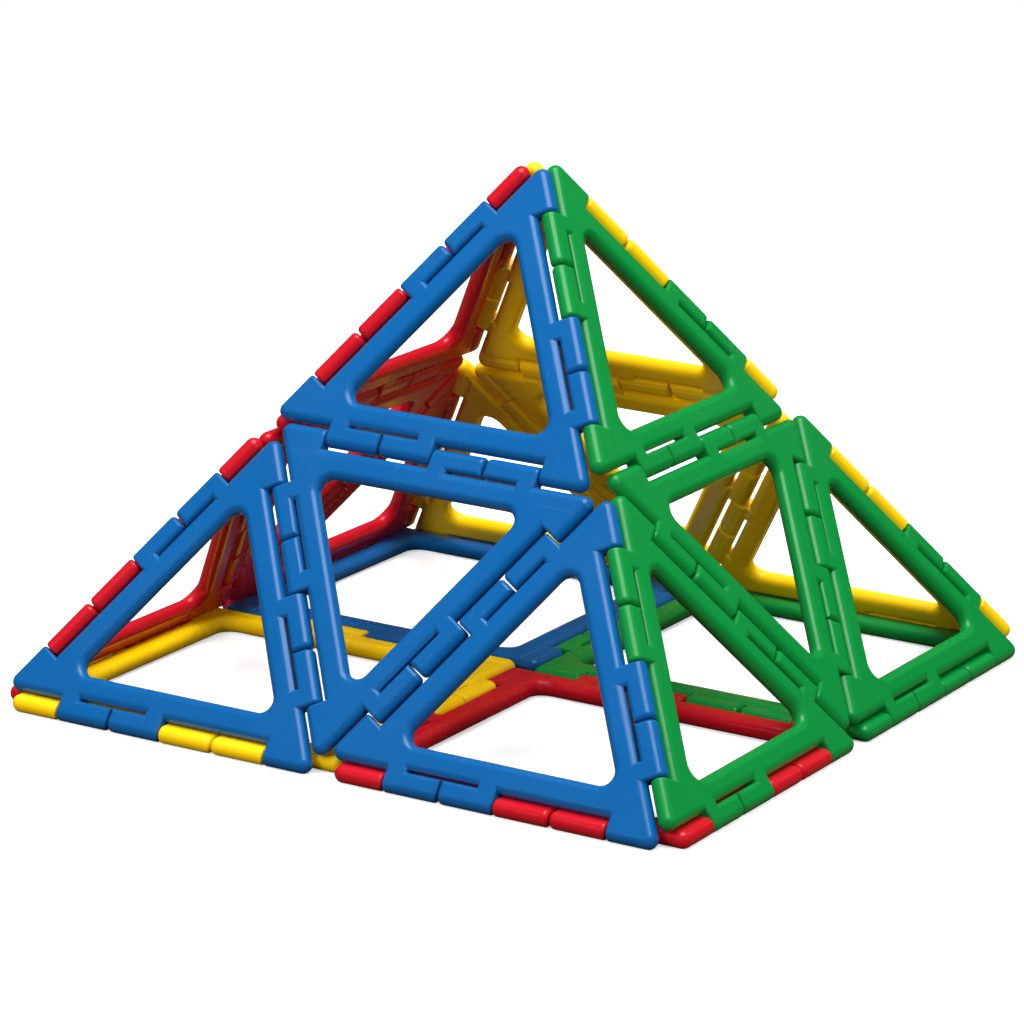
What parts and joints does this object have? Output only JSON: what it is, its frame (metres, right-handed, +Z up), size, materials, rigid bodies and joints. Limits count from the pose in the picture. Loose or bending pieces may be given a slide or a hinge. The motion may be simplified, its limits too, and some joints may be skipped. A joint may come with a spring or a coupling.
{
  "type": "polygon construction puzzle pyramid",
  "caption": "Square pyramid puzzle of open triangle and square plastic frames that clip together edge to edge on split knuckle hinges and fold open into a flat net.",
  "frame": {"origin": "under the middle of the base, on the surface it rests on", "axes": "+Z up to the apex; the blue face looks to -Y, green to +X, yellow to +Y and red to -X"},
  "size_m": [0.1454, 0.1454, 0.1004],
  "materials": {
    "blue_plastic": "moulded gloss",
    "green_plastic": "moulded gloss",
    "red_plastic": "moulded gloss",
    "yellow_plastic": "moulded gloss"
  },
  "bodies": {
    "base": {"base_square_left_yellow": "yellow_plastic", "base_square_front_red": "red_plastic", "base_square_right_green": "green_plastic", "base_square_back_blue": "blue_plastic"},
    "blue_left": {"blue_triangle_left": "blue_plastic"},
    "blue_right": {"blue_triangle_right": "blue_plastic"},
    "blue_centre": {"blue_triangle_centre": "blue_plastic"},
    "blue_top": {"blue_triangle_top": "blue_plastic"},
    "green_left": {"green_triangle_left": "green_plastic"},
    "green_right": {"green_triangle_right": "green_plastic"},
    "green_centre": {"green_triangle_centre": "green_plastic"},
    "green_top": {"green_triangle_top": "green_plastic"},
    "yellow_left": {"yellow_triangle_left": "yellow_plastic"},
    "yellow_right": {"yellow_triangle_right": "yellow_plastic"},
    "yellow_centre": {"yellow_triangle_centre": "yellow_plastic"},
    "yellow_top": {"yellow_triangle_top": "yellow_plastic"},
    "red_left": {"red_triangle_left": "red_plastic"},
    "red_right": {"red_triangle_right": "red_plastic"},
    "red_centre": {"red_triangle_centre": "red_plastic"},
    "red_top": {"red_triangle_top": "red_plastic"}
  },
  "joints": [
    {"name": "blue_face_fold", "type": "hinge", "parent": "base", "child": "blue_left", "pos_m": [-0.0355, -0.071, 0.00165], "axis": [1, 0, 0], "range_deg": [0, 125.26]},
    {"name": "blue_right_fold", "type": "hinge", "parent": "base", "child": "blue_right", "pos_m": [0.0355, -0.071, 0.00165], "axis": [1, 0, 0], "range_deg": [0, 125.26]},
    {"name": "blue_centre_fold", "type": "hinge", "parent": "blue_left", "child": "blue_centre", "pos_m": [-0.01775, -0.05325, 0.02675], "axis": [-0.5, 0.5, 0.7071], "range_deg": [-80, 0]},
    {"name": "blue_top_fold", "type": "hinge", "parent": "blue_centre", "child": "blue_top", "pos_m": [0, -0.0355, 0.05185], "axis": [-1, 0, 0], "range_deg": [-80, 0]},
    {"name": "green_face_fold", "type": "hinge", "parent": "base", "child": "green_left", "pos_m": [0.071, -0.0355, 0.00165], "axis": [0, 1, 0], "range_deg": [0, 125.26]},
    {"name": "green_right_fold", "type": "hinge", "parent": "base", "child": "green_right", "pos_m": [0.071, 0.0355, 0.00165], "axis": [0, 1, 0], "range_deg": [0, 125.26]},
    {"name": "green_centre_fold", "type": "hinge", "parent": "green_left", "child": "green_centre", "pos_m": [0.05325, -0.01775, 0.02675], "axis": [-0.5, -0.5, 0.7071], "range_deg": [-80, 0]},
    {"name": "green_top_fold", "type": "hinge", "parent": "green_centre", "child": "green_top", "pos_m": [0.0355, 0, 0.05185], "axis": [0, -1, 0], "range_deg": [-80, 0]},
    {"name": "yellow_face_fold", "type": "hinge", "parent": "base", "child": "yellow_left", "pos_m": [0.0355, 0.071, 0.00165], "axis": [-1, 0, 0], "range_deg": [0, 125.26]},
    {"name": "yellow_right_fold", "type": "hinge", "parent": "base", "child": "yellow_right", "pos_m": [-0.0355, 0.071, 0.00165], "axis": [-1, 0, 0], "range_deg": [0, 125.26]},
    {"name": "yellow_centre_fold", "type": "hinge", "parent": "yellow_left", "child": "yellow_centre", "pos_m": [0.01775, 0.05325, 0.02675], "axis": [0.5, -0.5, 0.7071], "range_deg": [-80, 0]},
    {"name": "yellow_top_fold", "type": "hinge", "parent": "yellow_centre", "child": "yellow_top", "pos_m": [0, 0.0355, 0.05185], "axis": [1, 0, 0], "range_deg": [-80, 0]},
    {"name": "red_face_fold", "type": "hinge", "parent": "base", "child": "red_left", "pos_m": [-0.071, 0.0355, 0.00165], "axis": [0, -1, 0], "range_deg": [0, 125.26]},
    {"name": "red_right_fold", "type": "hinge", "parent": "base", "child": "red_right", "pos_m": [-0.071, -0.0355, 0.00165], "axis": [0, -1, 0], "range_deg": [0, 125.26]},
    {"name": "red_centre_fold", "type": "hinge", "parent": "red_left", "child": "red_centre", "pos_m": [-0.05325, 0.01775, 0.02675], "axis": [0.5, 0.5, 0.7071], "range_deg": [-80, 0]},
    {"name": "red_top_fold", "type": "hinge", "parent": "red_centre", "child": "red_top", "pos_m": [-0.0355, 0, 0.05185], "axis": [0, 1, 0], "range_deg": [-80, 0]}
  ],
  "couplings": [
    {"joint": "blue_right_fold", "follows": "blue_face_fold", "ratio": 1},
    {"joint": "green_right_fold", "follows": "green_face_fold", "ratio": 1},
    {"joint": "yellow_right_fold", "follows": "yellow_face_fold", "ratio": 1},
    {"joint": "red_right_fold", "follows": "red_face_fold", "ratio": 1}
  ]
}
